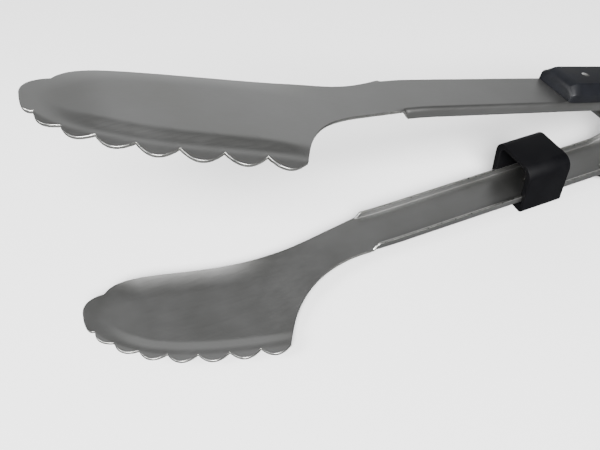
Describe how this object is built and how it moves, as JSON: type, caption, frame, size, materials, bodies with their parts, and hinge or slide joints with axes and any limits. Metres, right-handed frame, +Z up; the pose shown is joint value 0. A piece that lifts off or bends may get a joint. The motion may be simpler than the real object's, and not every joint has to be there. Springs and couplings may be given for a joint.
{
  "type": "kitchen tongs",
  "caption": "Spring loaded kitchen tongs: sheet steel arms with dished, scallop edged heads, riveted handle scales, a sprung pivot and a sliding collar that locks them shut.",
  "frame": {"origin": "middle of the box's underside, as the open tongs stand on the lower arm's head and collar", "axes": "-X towards the tips along the lower arm, +X towards the pivot and tail, +Y across, away from the scalloped edges, +Z up, from the lower arm to the upper"},
  "size_m": [0.31, 0.063, 0.1165],
  "materials": {
    "arm_steel": "satin",
    "bright_steel": "polished",
    "spring_steel": "drawn wire",
    "scale_plastic": "satin moulded",
    "collar_plastic": "matt moulded",
    "bush_plastic": "matt moulded"
  },
  "bodies": {
    "lower_arm": {"lower_arm": "arm_steel", "lower_handle_scale": "scale_plastic", "lower_rivet_front": "bright_steel", "lower_rivet_rear": "bright_steel", "pivot_pin": "bright_steel", "pivot_washer_near": "bright_steel", "pivot_washer_far": "bright_steel", "pivot_bush": "bush_plastic", "stop_pin": "bright_steel", "spring_lower_half": "spring_steel"},
    "upper_arm": {"upper_arm": "arm_steel", "upper_handle_scale": "scale_plastic", "upper_rivet_front": "bright_steel", "upper_rivet_middle": "bright_steel", "upper_rivet_rear": "bright_steel", "spring_upper_half": "spring_steel", "lock_catch": "arm_steel"},
    "lock_collar": {"lock_collar": "collar_plastic", "collar_leaf_spring": "spring_steel"}
  },
  "joints": [
    {"name": "jaw_pivot", "type": "hinge", "parent": "lower_arm", "child": "upper_arm", "pos_m": [0.137, 0.01315, 0.0228], "axis": [0, -1, 0], "range_deg": [0, 20.9], "stiffness_Nm_per_rad": 0.4, "springref_deg": -45.84},
    {"name": "collar_slide", "type": "slide", "parent": "lower_arm", "child": "lock_collar", "axis": [1, 0, 0], "range_m": [0, 0.022]}
  ]
}
